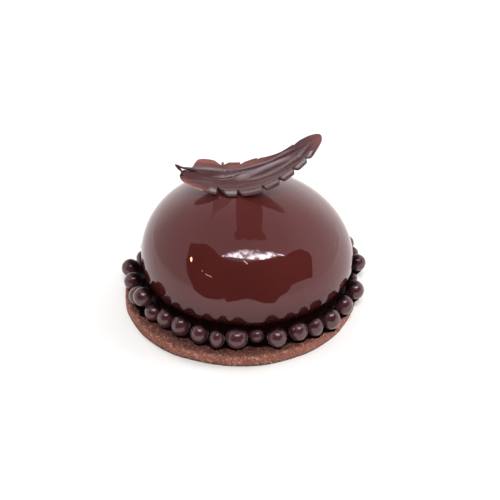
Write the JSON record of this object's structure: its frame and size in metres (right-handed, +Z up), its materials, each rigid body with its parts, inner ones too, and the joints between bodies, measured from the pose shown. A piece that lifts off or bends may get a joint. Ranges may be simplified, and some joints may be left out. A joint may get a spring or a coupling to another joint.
{
  "type": "chocolate mousse dome",
  "caption": "Glazed chocolate mousse dome on a round cocoa biscuit, with crisp chocolate pearls round its foot and a curved chocolate feather resting on its crown.",
  "frame": {"origin": "middle of the biscuit's flat underside, on the surface it stands on", "axes": "+Z up; +X to the right and +Y away from someone who looks at the front, where the feather's quill is on the left and its free tip on the right"},
  "size_m": [0.0852, 0.0846, 0.0573],
  "materials": {
    "mirror_glaze": "chocolate mirror glaze, wet gloss",
    "cocoa_biscuit": "baked cocoa shortbread, sandy and dry",
    "pearl_chocolate": "polished dark chocolate shell, satin",
    "feather_chocolate": "tempered dark chocolate, silky"
  },
  "bodies": {
    "root": {"cocoa_biscuit": "cocoa_biscuit", "glazed_mousse": "mirror_glaze", "chocolate_pearl_01": "pearl_chocolate", "chocolate_pearl_02": "pearl_chocolate", "chocolate_pearl_03": "pearl_chocolate", "chocolate_pearl_04": "pearl_chocolate", "chocolate_pearl_05": "pearl_chocolate", "chocolate_pearl_06": "pearl_chocolate", "chocolate_pearl_07": "pearl_chocolate", "chocolate_pearl_08": "pearl_chocolate", "chocolate_pearl_09": "pearl_chocolate", "chocolate_pearl_10": "pearl_chocolate", "chocolate_pearl_11": "pearl_chocolate", "chocolate_pearl_12": "pearl_chocolate", "chocolate_pearl_13": "pearl_chocolate", "chocolate_pearl_14": "pearl_chocolate", "chocolate_pearl_15": "pearl_chocolate", "chocolate_pearl_16": "pearl_chocolate", "chocolate_pearl_17": "pearl_chocolate", "chocolate_pearl_18": "pearl_chocolate", "chocolate_pearl_19": "pearl_chocolate", "chocolate_pearl_20": "pearl_chocolate", "chocolate_pearl_21": "pearl_chocolate", "chocolate_pearl_22": "pearl_chocolate", "chocolate_pearl_23": "pearl_chocolate", "chocolate_pearl_24": "pearl_chocolate", "chocolate_pearl_25": "pearl_chocolate", "chocolate_pearl_26": "pearl_chocolate", "chocolate_pearl_27": "pearl_chocolate", "chocolate_pearl_28": "pearl_chocolate", "chocolate_pearl_29": "pearl_chocolate", "chocolate_pearl_30": "pearl_chocolate", "chocolate_pearl_31": "pearl_chocolate", "chocolate_pearl_32": "pearl_chocolate", "chocolate_pearl_33": "pearl_chocolate", "chocolate_pearl_34": "pearl_chocolate", "chocolate_pearl_35": "pearl_chocolate", "chocolate_feather": "feather_chocolate"}
  },
  "joints": []
}
